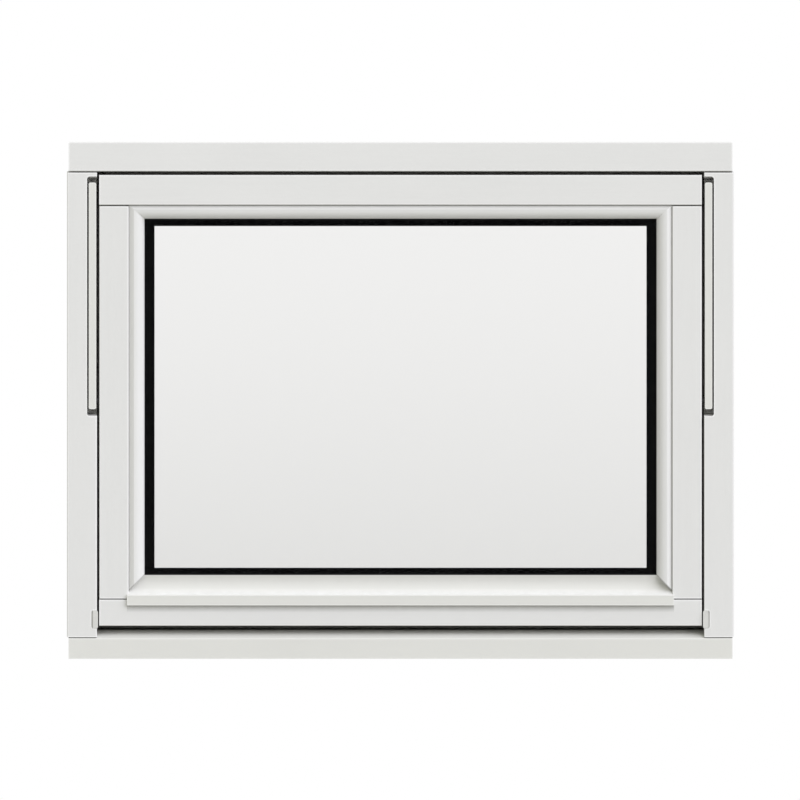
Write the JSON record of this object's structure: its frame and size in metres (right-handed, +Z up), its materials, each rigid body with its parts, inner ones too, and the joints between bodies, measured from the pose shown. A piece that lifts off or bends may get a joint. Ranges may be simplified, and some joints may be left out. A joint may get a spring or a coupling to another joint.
{
  "type": "centre pivot window",
  "caption": "White timber window with a glazed reversible sash hung at mid-height on two arms let into the jambs, moulded beads and a metal weather bead.",
  "frame": {"origin": "middle of the overall box at the sill's underside", "axes": "+X to the right seen from outside, +Y into the room, +Z up"},
  "size_m": [0.89, 0.1172, 0.69],
  "materials": {
    "painted_timber": "white satin paint on planed softwood",
    "painted_aluminium": "off-white powder coat",
    "painted_steel": "off-white powder coat",
    "guide_plastic": "pale grey moulded plastic",
    "pivot_steel": "dark phosphated steel",
    "black_rubber": "matt black extruded rubber",
    "black_spacer": "matt black warm-edge spacer",
    "clear_glass": "clear float glass",
    "handle_metal": "satin metal"
  },
  "bodies": {
    "root": {"frame_head": "painted_timber", "frame_sill": "painted_timber", "sill_cover": "painted_aluminium", "left_jamb": "painted_timber", "right_jamb": "painted_timber", "weather_seal": "black_rubber", "left_closing_guide": "guide_plastic", "right_closing_guide": "guide_plastic", "left_hinge_arm": "painted_steel", "right_hinge_arm": "painted_steel", "left_frame_pivot": "pivot_steel", "right_frame_pivot": "pivot_steel", "left_sash_pivot": "pivot_steel", "right_sash_pivot": "pivot_steel", "sash_top_rail": "painted_timber", "sash_bottom_rail": "painted_timber", "sash_left_stile": "painted_timber", "sash_right_stile": "painted_timber", "top_glazing_bead": "painted_timber", "left_glazing_bead": "painted_timber", "right_glazing_bead": "painted_timber", "bottom_weather_bead": "painted_aluminium", "outer_pane": "clear_glass", "inner_pane": "clear_glass", "glass_spacer": "black_spacer", "outer_glazing_gasket": "black_rubber", "inner_glazing_gasket": "black_rubber", "handle_base": "handle_metal", "handle_lever": "handle_metal"}
  },
  "joints": []
}
